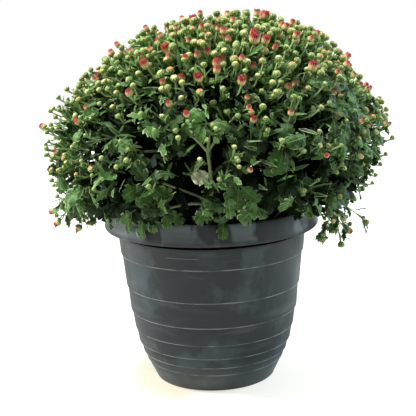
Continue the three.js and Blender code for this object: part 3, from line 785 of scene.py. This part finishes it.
def dome_points(ways, inset):
    """Points on the plant's outer surface, or inset mm inside it, in mm."""
    ways = unit(ways)
    points = ways * (1 / dome_share(ways) + bulging(ways) - inset)[:, None]
    points[:, 2] += DOME_CENTRE
    points[:, 0] += DOME_LEAN * (points[:, 2] - LEAN_FROM)
    hem = hem_height(ways)
    points[:, 2] = np.where(points[:, 2] < hem, hem + (points[:, 2] - hem) * 0.25, points[:, 2])
    return points


def from_centre(points):
    """Points as they lie from the middle of the upright dome."""
    away = points - [0, 0, DOME_CENTRE]
    away[..., 0] -= DOME_LEAN * (points[..., 2] - LEAN_FROM)
    return away


def standing_out(points):
    """How far points stand out of the dome, in mm."""
    away = from_centre(points)
    beyond = 1 - 1 / np.maximum(dome_share(away), 1e-6)
    return np.linalg.norm(away, axis=-1) * beyond - bulging(unit(away))


def around_pot(azimuth, radius, height):
    return np.array([radius * cos(azimuth), radius * sin(azimuth), height])


def polar_ways(polars, azimuths):
    return np.stack([np.sin(polars) * np.cos(azimuths), np.sin(polars) * np.sin(azimuths),
                     np.cos(polars)], axis=-1)


def sown(number, lowest, crown, thinning, loose):
    """Directions spread evenly by the golden turn, moved a little at random, and thinned below
    the crown's polar angle, down to the given density."""
    polars = np.linspace(0, lowest, 400)
    density = thinning + (1 - thinning) * np.exp(-np.maximum(polars - crown, 0) * 6)
    whole = np.cumsum(density * np.sin(polars))
    polar = np.interp((np.arange(number) + 0.5) / number * whole[-1], whole, polars)
    ways = polar_ways(polar, np.arange(number) * GOLDEN_TURN)
    spacing = sqrt(2 * pi * (1 - cos(lowest)) / number)
    return unit(ways + scatter(number, loose * spacing))


def nearest(ways, centres):
    return np.argmax(ways @ centres.T, axis=1)


def marks(number, shade=(0, 1), second=(0, 0), depth=0, edge=(0, 0)):
    """The four numbers that each copy carries for its finish."""
    made = np.zeros((number, 4))
    made[:, 0] = draw(number, *shade)
    made[:, 1] = draw(number, *second)
    made[:, 2] = depth
    made[:, 3] = draw(number, *edge)
    return made


paths = []
axes = []
for number in range(TALL_STEMS + RIM_STEMS):
    if number < TALL_STEMS:
        share = (number + 0.5) / TALL_STEMS
        polar, azimuth = acos(1 - STEM_REACH * share), number * GOLDEN_TURN + 0.6
        foot_radius, arch = TALL_FOOT * sqrt(share), TALL_ARCH
    else:
        polar, azimuth = RIM_POLAR, (number - TALL_STEMS + 0.233) / RIM_STEMS * 2 * pi
        foot_radius, arch = RIM_FOOT, RIM_ARCH
    axis = polar_ways(polar, azimuth)
    foot = around_pot(azimuth, foot_radius, mix_top(foot_radius) + 3)
    tip = dome_points(axis[None], STEM_INSET)[0]
    bend = foot + (tip - foot) * 0.42
    bend[2] = foot[2] + max(0.8 * (tip[2] - foot[2]), arch)
    axes.append(axis)
    paths.append((foot, bend, tip))
axes = np.array(axes)
paths[FORKED_STEM] = (paths[FORKED_STEM][0], FORK_BEND, FORK)
heaps = [{kind: Heap() for kind in KINDS} for axis in axes]

for number, (foot, bend, tip) in enumerate(paths):
    thick = TALL_THICK if number < TALL_STEMS else RIM_THICK
    # The third number paints shade: stalks deep inside are painted darker.
    tint = (marks(1, (0.6, 0.7), (0.1, 0.2), 0, (0.8, 0.9)) if number == FORKED_STEM
            else marks(1, (0, 0.35), (0.2, 0.5), 0.25))
    lay(heaps[number]["stalks"], trunk, foot - STEM_IN_MIX, bend, tip, thick, thick * 0.6, tint)
for end in FORK_ENDS:
    lay(heaps[FORKED_STEM]["stalks"], branch, FORK, (FORK + end) / 2 + [0, -2, 3], end, 1.5, 1.1,
        marks(1, (0.7, 0.8), (0.1, 0.2), edge=(1, 1)))

shoot_ways = sown(SHOOTS, 1.98, 1.1, 0.5, 0.16)
shoot_owner = nearest(shoot_ways, axes)
shoot_end = dome_points(shoot_ways, draw(SHOOTS, 30, 44))
shoot_start = np.empty_like(shoot_end)
for number, path in enumerate(paths):
    mine = shoot_owner == number
    away = np.linalg.norm(shoot_end[mine] - path[2], axis=1)
    shoot_start[mine] = curve_at(path, np.clip(0.97 - away / 120, 0.42, 0.97))
shoot_bend = (shoot_start + shoot_end) / 2 + shoot_ways * draw(SHOOTS, -14, 2)[:, None]
for number, heap in enumerate(heaps):
    mine = shoot_owner == number
    # The shoots carry a little painted shade in their third number.
    lay(heap["stalks"], branch, shoot_start[mine], shoot_bend[mine], shoot_end[mine],
        draw(mine.sum(), 1.6, 2), draw(mine.sum(), 1, 1.3),
        marks(mine.sum(), (0, 0.6), (0, 0.25), 0.12))

# ---- Buds on their stalks ----
# Every stalk rises nearly straight up out of its shoot and carries one bud and a few bracts.
# The crown is thick with ripe buds and the first red tufts. On the leafy sides small green
# buds stand in little clusters at the shoots' ends.
CROWN_BUDS = 880
EDGE_BUDS = 130
BUD_RADIUS = 4.5
RED_FROM = 0.77
WIDE_FROM = 0.95
BRACTS = 7
CLUSTER_SHARE = 0.42
LARGE_BUDS = [(1.08, -1.48), (1.05, -1.75), (1.0, -0.95), (0.95, -2.2), (0.75, -1.35)]
ROUND_LARGE = 0.9985  # cosine of the room round a large bud
BLOOM_WAY = (0.15, -0.5, 0.9)
SKIRT = (0.95, 0.45)  # polar angle where the leafy sides start, and over how much they set in
large_ways = polar_ways(*np.transpose(LARGE_BUDS))
crown_ways = sown(CROWN_BUDS, 1.62, 0.94, 0.1, 0.26)
crown_ways = unit(crown_ways - np.outer(crown_ways[:, 0] ** 2, [0, 0, 0.25]))
crown_ways = crown_ways[(crown_ways @ large_ways.T).max(axis=1) < ROUND_LARGE]
tips = np.flatnonzero((shoot_ways[:, 2] < 0.45) & (chance.random(SHOOTS) < CLUSTER_SHARE))
tips = np.repeat(tips, chance.integers(2, 5, len(tips)))
cluster_ways = unit(shoot_ways[tips] + scatter(len(tips), 0.035))
at_left = chance.integers(0, 2, EDGE_BUDS)
edge_ways = polar_ways(draw(EDGE_BUDS, 0.92, 1.48) + 0.14 * at_left,
                       chance.normal(0, 0.42, EDGE_BUDS) + pi * at_left
                       + 0.3 * (2 * at_left - 1))
bud_ways = np.concatenate([large_ways, crown_ways, edge_ways, cluster_ways])
number = len(bud_ways)
large = np.arange(number) < len(LARGE_BUDS)
small = np.arange(number) >= number - len(tips)
edge = (np.arange(number) >= number - len(tips) - EDGE_BUDS) & ~small
bud_shoot = nearest(bud_ways, shoot_ways)
bud_owner = shoot_owner[bud_shoot]
polar = np.arccos(np.clip(bud_ways[:, 2], -1, 1))
skirt = np.maximum(np.clip((polar - SKIRT[0]) / SKIRT[1], 0, 1), small)
ripeness = draw(number, 0, 1) + 0.2 * (bud_ways @ unit(BLOOM_WAY) - 0.8) - 0.12 * skirt
ripeness[edge] = draw(EDGE_BUDS, 0.2, 0.86)
ripeness[large] = 1.2
bud_size = BUD_RADIUS * draw(number, 0.72, 1.08) * (1 - 0.3 * skirt)
bud_size *= 0.92 + 0.14 * np.clip(ripeness, 0, 1)
bud_size[large] *= 1.25
inset = np.where(chance.random(number) < 0.3, draw(number, 8, 26), draw(number, -5, 10))
inset[large] = -4
bud_top = dome_points(bud_ways, np.where(small, draw(number, -4, 18), inset))
back = draw(number, 0, 0.3)[:, None]
stalk_start = shoot_end[bud_shoot] + (shoot_start - shoot_end)[bud_shoot] * back
bud_lean = unit(bud_ways * [0.7, 0.35, 0.2] + [0, 0, 0.9] + 0.35 * unit(bud_top - stalk_start)
                + scatter(number, 1) * np.where(small, 0.4, 0.13)[:, None])
bud_foot = bud_top - bud_lean * (1.75 * bud_size)[:, None]
length = np.linalg.norm(bud_foot - stalk_start, axis=1)
stalk_bend = bud_foot - bud_lean * np.minimum(0.4 * length, 16)[:, None]
stalk_bend[small] = (0.5 * (stalk_start + bud_foot) + [0, 0, 2])[small]
bud_marks = marks(number)
bud_marks[:, 1] = np.clip(ripeness, 0, 1)
for owner, heap in enumerate(heaps):
    mine = np.flatnonzero(bud_owner == owner)
    number = len(mine)
    if not number:
        continue
    path = stalk_start[mine], stalk_bend[mine], bud_foot[mine]
    stalk_marks = marks(number, (0.5, 1.2))
    stalk_marks[:, 0] -= 0.75 * skirt[mine]
    lay(heap["stalks"], pedicel, *path, 0.85 - 0.2 * small[mine], 0.85 - 0.15 * small[mine],
        stalk_marks)
    for kind, shape, low, high, stout, tall in (
            ("buds", closed_bud, -9, RED_FROM, 1, 1),
            ("florets", tight_tuft, RED_FROM, WIDE_FROM, 0.92, 1.02),
            ("florets", open_tuft, WIDE_FROM, 9, 0.98, 1.1)):
        some = mine[(ripeness[mine] >= low) & (ripeness[mine] < high)]
        stand(heap[kind], shape, bud_foot[some], bud_lean[some],
              bud_size[some][:, None] * np.array([stout, stout, tall]), draw(len(some), 0, 6),
              bud_marks[some])
    for turn in range(BRACTS):
        along = draw(number, 0.15, 0.97)
        base = curve_at(path, along)
        heading = bud_lean[mine] + scatter(number, 0.5)
        face = bud_ways[mine] + [0, 0, 0.2] + scatter(number, 0.3)
        size = draw(number, 9, 19) * (1 - 0.5 * along)
        grown = leafed(bract, base, heading, face, size, draw(number, -0.2, 1.1),
                       draw(number, 0.1, 0.6), draw(number, -0.1, 0.1))
        # Lower bracts, deeper among the leaves, get painted shade.
        heap["leaves"].add(bract, grown, marks(number, (0, 1.1), (0, 0.7),
                                               np.clip(0.95 - 1.3 * along, 0, 1), (0.2, 1)))

# ---- Leaves on the stems ----
# Narrow young leaves stand between the buds. Lobed ones ring the side shoots in rosettes and
# overlap down the sides with dark gaps between them, the deeper ones painted darker as shade.
# Older ones fill the inside in a near-black finish that paints the shade there, a few broad
# ones lie on the right shoulder, and a few hang over the pot's collar.
YOUNG_LEAVES = 900
NARROW_LEAVES = 2100
ROSETTE = 6
SIDE_LEAVES = 240
MIDDLE_LEAVES = 260
INNER_LEAVES = 620
SHOULDER_LEAVES = 56
GAPS = [  # polar angle, azimuth and reach of each dark gap in the front
    (1.62, -1.76, 0.1), (1.76, -1.72, 0.09), (1.45, -1.62, 0.09), (1.60, -1.40, 0.06),
    (1.74, -1.28, 0.06), (1.42, -2.02, 0.06), (1.32, -1.66, 0.06), (1.66, -0.8, 0.06)]
SMALL_GAPS = 16
SMALL_GAP_REACH = 0.07
CLOSED_BELOW = 75
OUT_OF_DOME = 4
UNDER_HEM = 5
INNER_SHADE_FINISH = 2
RIM_LEAVES = [  # azimuth, length and how far the tip hangs below the collar's top, in mm
    (-2.36, 32, 13), (-2.2, 34, 16), (-2.08, 30, 9), (-2.5, 28, 8), (-1.47, 25, 16), (-1.95, 28, 4)]
RIM_TIP = 137
TURNED_LEAF = [(3, -165, 279), (-17, -172, 271)]
TURNED_SIZE = 26
gap_polars, gap_azimuths, gap_reach = np.transpose(GAPS)
gap_ways = np.concatenate([
    polar_ways(gap_polars, gap_azimuths),
    polar_ways(draw(SMALL_GAPS, 1.35, 1.75), np.arange(SMALL_GAPS) * GOLDEN_TURN * 4.1 + 0.3)])
gap_reach = np.append(gap_reach, [SMALL_GAP_REACH] * SMALL_GAPS)


def grow_leaves(shape, ways, insets, outward, fall, sizes, droops, tints, turn=0.45,
                loose=OUT_OF_DOME, finish=None, around=None):
    """Leaves rooted inside the dome and turned out through it. One that stands out too far or
    hangs too low is drawn in, and none grows across a dark gap. Pairs are limits to draw
    between, and tints may be what marks() draws them from."""
    number = len(ways)
    insets, outward, fall, sizes, droops = (
        draw(number, *given) if isinstance(given, tuple) else given
        for given in (insets, outward, fall, sizes, droops))
    if isinstance(tints, dict):
        tints = marks(number, **tints)
    owner = nearest(ways, axes)
    across = unit(np.cross(ways, [0.02, 0.01, 1]))
    if around is None:
        around = draw(number, 0, 2 * pi)
    side = across * np.cos(around)[:, None] + np.cross(ways, across) * np.sin(around)[:, None]
    heading = ways * outward[:, None] + side - np.array([0, 0, 1]) * fall[:, None]
    face = ways + [0, 0, 0.5] + scatter(number, turn)
    grown = leafed(shape, dome_points(ways, insets), heading, face, sizes, droops,
                   draw(number, -0.15, 0.6), draw(number, -0.18, 0.18))
    over = standing_out(grown).max(axis=1) - draw(number, -6, loose)
    grown -= (ways * np.maximum(over, 0)[:, None])[:, None]
    low = hem_height(ways) - draw(number, -8, UNDER_HEM) - grown[..., 2].min(axis=1)
    grown[..., 2] += np.maximum(low, 0)[:, None]
    middle = grown.mean(axis=1)
    depth = -standing_out(middle)
    apart = (unit(from_centre(middle)) @ gap_ways.T < np.cos(gap_reach)).all(axis=1)
    clear = apart | (depth > CLOSED_BELOW)
    for one, heap in enumerate(heaps):
        mine = (owner == one) & clear
        heap["leaves"].add(shape, grown[mine], tints[mine], finish)


def all_round(number, lowest, highest):
    """Directions at random all round, between two heights of the way."""
    return polar_ways(np.arccos(draw(number, lowest, highest)), draw(number, 0, 2 * pi))


for shape, number, longest in ((small_leaf, YOUNG_LEAVES, 26), (bract, NARROW_LEAVES, 28)):
    ways = sown(number, 1.75, 1.25, 0.5, 0.3)
    insets = draw(number, 18, 44)
    on_top = np.clip(ways[:, 2] * 2 - 0.8, 0, 1)
    # The third number is painted shade, by how deep each leaf lies.
    tints = marks(number, (-0.1, 0.9), (0, 0.3),
                  np.clip((insets - 22 - 5 * on_top) / 22, 0, 0.88), (0, 1))
    tints[:, 1] += 0.35 * on_top
    grow_leaves(shape, ways, insets, (1, 2.6), (-0.4, 0.2), (16, longest), (0, 0.9), tints, 0.5, -2)
side_shoots = shoot_ways[shoot_ways[:, 2] < 0.36 - 0.3 * abs(shoot_ways[:, 0])]
for shape, centres in ((broad_leaf, side_shoots[::2]), (round_leaf, side_shoots[1::2])):
    number = len(centres) * ROSETTE
    around = np.tile(np.arange(ROSETTE), len(centres)) * 2 * pi / ROSETTE
    around += np.repeat(draw(len(centres), 0, 6), ROSETTE) + draw(number, -0.3, 0.3)
    insets = np.repeat(draw(len(centres), 12, 34), ROSETTE)
    # The third number is painted shade, by how deep each rosette lies.
    tints = marks(number, (-0.1, 1.2), (0, 0.25), np.clip((insets - 13) / 18, 0, 0.92), (0, 1.2))
    grow_leaves(shape, np.repeat(centres, ROSETTE, axis=0), insets, (0.3, 1.1), (0.1, 0.8),
                (18, 31), (0.3, 1.8), tints, 0.35, around=around)
for shape, share in ((broad_leaf, 0.6), (round_leaf, 0.4)):
    number = int(SIDE_LEAVES * share)
    polar = np.arccos(draw(number, -0.45, 0.4))
    insets = draw(number, 14, 50)
    # The third number is painted shade, by how deep each leaf lies.
    tints = marks(number, (-0.1, 1), (0, 0.25), np.clip((insets - 15) / 22, 0, 0.92), (0, 1.2))
    grow_leaves(shape, polar_ways(polar, draw(number, 0, 2 * pi)), insets, (0.1, 1.3),
                (0.2, 1.2), (20, 34), (0.2, 1.7), tints, 0.6)
# The middle leaves are painted dark as shade, with a depth of 0.94.
grow_leaves(broad_leaf, all_round(MIDDLE_LEAVES, -0.4, 0.6), (28, 60), (0.1, 1), (0, 1), (26, 40),
            (0.2, 1.4), {"shade": (0, 0.5), "depth": 0.94, "edge": (0, 0.4)}, 1.4)
# The inner leaves take the near-black painted-shade finish.
grow_leaves(round_leaf, all_round(INNER_LEAVES, -0.42, 1), (52, 110), (0.2, 1), (0, 1), (34, 50),
            (0.2, 1.2), {}, 1.2, finish=INNER_SHADE_FINISH)
ways = polar_ways(draw(SHOULDER_LEAVES, 1.06, 1.5), draw(SHOULDER_LEAVES, -1.15, 0.2))
grow_leaves(broad_leaf, ways, (4, 18), (0.2, 0.9), (0.2, 0.9), (20, 33), (0.3, 1.5),
            {"shade": (-0.1, 0.6), "edge": (0, 0.7)}, 0.2)

for azimuth, size, hang in RIM_LEAVES:
    way = around_pot(azimuth, 1, 0)
    tip = way * RIM_TIP + [0, 0, POT_HEIGHT - hang]
    base = tip - way * 14 + [0, 0, size * 0.9]
    owner = nearest(way[None] * sin(RIM_POLAR) + [0, 0, cos(RIM_POLAR)], axes)[0]
    face = way + [0, 0, 0.3] + scatter(1, 0.2)
    hung = leafed(broad_leaf, base, tip - base + way * 6, face, size, 0.5, 0.25,
                  draw(1, -0.1, 0.1))
    heaps[owner]["leaves"].add(broad_leaf, hung, marks(1, (0.2, 0.8), edge=(0.2, 0.7)))
base, tip = np.array(TURNED_LEAF)
turned = leafed(round_leaf, base, tip - base, [0, 0.9, -0.45], TURNED_SIZE, 0.5, 0.3, 0.05)
pale = marks(1, (1, 1), (1.95, 1.95), edge=(0.8, 0.8))
heaps[FORKED_STEM]["leaves"].add(round_leaf, turned, pale)

# ---- Lone bud and low sprays ----
# One ripe bud stands off to the left on its own stalk. Two thin shoots fall over the rim, one
# at each side, with forked tips, narrow leaves and small buds.
LONE_BUD = np.array([-196, -22, 316])
LONE_LEAN = (-0.75, -0.15, 0.55)
SPRAYS = [  # azimuth, radius and height of the tip, then the same of each fork's tip
    [(3.3, 187, 217), (3.33, 181, 205), (3.26, 158, 196), (3.42, 166, 224), (3.18, 148, 199)],
    [(-0.24, 158, 168), (-0.28, 184, 199), (-0.3, 164, 190), (-0.2, 147, 187), (-0.34, 160, 206),
     (-0.36, 140, 181)]]
SPRAY_FOOT = 96
SPRAY_BEND = (138, 284)
SPRAY_LEAVES = (14, 0.45, 28)  # how many, from what share of the twig up, and the longest
FORK_LEAVES = (8, 0.25, 24)
SPRAY_RIPENESS = [[0.86, 0.84, 0.8, 0.3, 0.2], [0.3, 0.1, 0.84, 0.2, 0.3, 0.1]]
SPRAY_BUDS = np.array([2.6, 2.9, 4.4])
RED_SPRAY_BUD = 4.2
lean = unit([LONE_LEAN])
foot = LONE_BUD - lean * 7
root = dome_points([[-0.97, -0.12, 0.02]], 24)
owner = heaps[nearest(np.array([[-0.97, -0.12, 0.1]]), axes)[0]]
lay(owner["stalks"], pedicel, root, foot - lean * 12, foot, 1.1, 0.9, marks(1, (0.4, 0.6)))
stand(owner["florets"], tight_tuft, foot, lean, [4.6], [0.4], marks(1, (0.2, 0.3), (0.9, 0.9)))

for ends, ripe in zip(SPRAYS, SPRAY_RIPENESS):
    azimuth = ends[0][0]
    way = around_pot(azimuth, 1, 0)
    heap = {kind: Heap() for kind in KINDS}
    heaps.append(heap)
    main = (around_pot(azimuth, SPRAY_FOOT, mix_top(SPRAY_FOOT) + 3),
            around_pot(azimuth, *SPRAY_BEND), around_pot(*ends[0]))
    lay(heap["stalks"], trunk, main[0] - STEM_IN_MIX, main[1], main[2], 2, 0.9,
        marks(1, (0.3, 0.5), (0.1, 0.1)))
    twigs = [main]
    for fork, end in enumerate(ends[1:]):
        fork_start = curve_at(main, [0.6 + 0.3 * fork / len(ends)])[0]
        tip = around_pot(*end)
        twigs.append((fork_start, (fork_start + tip) / 2 + [0, 0, 5], tip))
    lay(heap["stalks"], branch, *np.array(twigs[1:]).swapaxes(0, 1), 0.9, 0.7,
        marks(len(ends) - 1, (0.4, 0.9)))
    for twig, ripeness in zip(twigs, ripe):
        number, lowest, longest = SPRAY_LEAVES if twig is main else FORK_LEAVES
        onward = unit(twig[2] - twig[1])
        side = unit(scatter(number, 1))
        grown = leafed(small_leaf, curve_at(twig, np.linspace(lowest, 0.97, number)),
                       onward * 0.9 + side * 0.9, way * 0.4 + [0, 0, 1.0] + side * 0.3,
                       draw(number, 14, longest), draw(number, 0.2, 1), draw(number, 0, 0.5),
                       draw(number, -0.1, 0.1))
        heap["leaves"].add(small_leaf, grown, marks(number, (-0.2, 0.6), (0, 0.15), edge=(0, 0.8)))
        foot = curve_at(twig, [0.84, 0.9, 0.98])
        lean = unit(onward * 0.9 + unit(scatter(3, 1)) * [[0.8], [0.8], [0.1]])
        end = foot + lean * [[9], [7], [3]]
        lay(heap["stalks"], pedicel, foot, (foot + end) / 2 + [0, 0, 1], end, 0.7, 0.7,
            marks(3, (0.4, 1)))
        tints = marks(3, (0, 0.8), (0.1, 0.4))
        shut = 2 if ripeness > RED_FROM else 3
        stand(heap["buds"], closed_bud, end[:shut], lean[:shut], SPRAY_BUDS[:shut],
              draw(shut, 0, 6), tints[:shut])
        if shut == 2:
            tints[2, 1] = ripeness
            stand(heap["florets"], tight_tuft, end[2:], lean[2:] + way, [RED_SPRAY_BUD], [0.4],
                  tints[2:])

names = [f"leafy_stem_{number + 1:02d}" for number in range(TALL_STEMS + RIM_STEMS)]
names += ["low_spray_30", "low_spray_31"]
FINISHES = {"leaves": ([leaf_face, leaf_back, inner_leaf_painted_shade], "foliage"),
            "stalks": ([green_stalk], "stem"), "buds": ([bud_bracts], "bud"),
            "florets": ([bud_bracts, ray_florets], "ray_floret")}
for name, heap in zip(names, heaps):
    for kind, (finishes, slot_name) in FINISHES.items():
        if heap[kind].count:
            piece = heap[kind].piece(f"{name}_{kind}", finishes)
            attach(piece, "root")
            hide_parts(name)

# ---- Floor, light and camera ----
# A plain white paper floor in a bright room, with a painted warm shadow beside the pot's foot.
# The key lamp hangs at the upper left in front, and a broad soft one stands low at each side.
FLOOR_RADIUS = 4
PAPER = (0.45, 0.442, 0.42, 1)
PAPER_GLOW = (1, 0.985, 0.94, 1)
PAPER_IN_PAINTED_SHADOW = (0.3, 0.28, 0.228, 1)
GLOW_IN_PAINTED_SHADOW = (0.665, 0.622, 0.505, 1)
LAMPS = [  # place, what it is aimed at, size, power and colour
    ("soft_key", (-1.35, -0.5, 2.4), (0, 0, 0.25), 0.4, 118, (1, 0.985, 0.95)),
    ("soft_left", (-1.9, 0.4, 0.8), (0, 0, 0.2), 1.5, 27, (1, 0.99, 0.97)),
    ("soft_right", (1.85, 0.5, 0.7), (0, 0, 0.1), 1.4, 42, (0.74, 0.92, 1))]
SENSOR = 36
FRAME = 416
FOCAL = 900
AWAY = 1079
EYE_HEIGHT = 427
PITCH = 0.201
ROLL = -0.03
PAN = 0.0034
floor = start(bpy.ops.mesh.primitive_circle_add, radius=FLOOR_RADIUS, vertices=64,
              fill_type="NGON")
floor.name = "plain_floor"
close_work()
coat = Finish("white_paper", Roughness=0.9)
spot = coat.add("SeparateXYZ", Vector=coat.here())
squared = coat.sums("MULTIPLY_ADD", spot.outputs[0], spot.outputs[0],
                    coat.times(spot.outputs[1], spot.outputs[1]))
# Painted shadow: warmer, darker paper in a ring beside the pot's foot, on its left.
painted_foot_shadow = coat.times(coat.ramp(coat.sums("SQRT", squared), 0.142, 0.09),
                  coat.ramp(spot.outputs[0], 0.01, -0.05))
seen = coat.add("LightPath").outputs["Is Camera Ray"]
coat.paint(PAPER_IN_PAINTED_SHADOW, painted_foot_shadow, under=PAPER)
coat.set(Emission_Color=coat.blend(painted_foot_shadow, PAPER_GLOW, GLOW_IN_PAINTED_SHADOW),
         Emission_Strength=coat.sums("MULTIPLY_ADD", seen, 0.48, 0.14))
floor.data.materials.append(coat.material)

for name, place, aim, size, power, colour in LAMPS:
    light = bpy.data.lights.new(name, "AREA")
    light.shape = "DISK"
    light.size = size
    light.energy = power
    light.color = colour
    lamp = bpy.data.objects.new(name, light)
    lamp.location = place
    lamp.rotation_euler = (Vector(aim) - Vector(place)).to_track_quat("-Z", "Y").to_euler()
    bpy.context.collection.objects.link(lamp)

world = bpy.data.worlds.new("studio")
world.use_nodes = True
studio = Nodes(world.node_tree)
toward = studio.add("SeparateXYZ", Vector=studio.add("TexCoord").outputs["Generated"])
room = studio.sums("ADD", studio.ramp(toward.outputs[1], -0.35, 0.7, 0.07, 0.9),
                   studio.ramp(toward.outputs[2], 0.3, 1, 0, 1.15))
seen = studio.add("LightPath").outputs["Is Camera Ray"]
backdrop = world.node_tree.nodes["Background"].inputs
studio.put(backdrop["Strength"], studio.add("Mix", i0=seen, i2=room, i3=1.0).outputs[0])
studio.put(backdrop["Color"], (1, 1, 1, 1))
bpy.context.scene.world = world
bpy.context.scene.view_settings.view_transform = "Standard"

eye = bpy.data.cameras.new("eye")
eye.sensor_width = SENSOR
eye.lens = FOCAL * SENSOR / FRAME
camera = bpy.data.objects.new("eye", eye)
bpy.context.collection.objects.link(camera)
right = Vector((cos(PAN), sin(PAN), 0))
ahead = Vector((-sin(PAN) * cos(PITCH), cos(PAN) * cos(PITCH), -sin(PITCH)))
above = right.cross(ahead)
tilted_right = right * cos(ROLL) + above * sin(ROLL)
tilted_above = above * cos(ROLL) - right * sin(ROLL)
aimed = Matrix((tilted_right, tilted_above, -ahead)).transposed().to_4x4()
aimed.translation = Vector((0, -AWAY * MM, EYE_HEIGHT * MM))
camera.matrix_world = aimed
bpy.context.scene.camera = camera
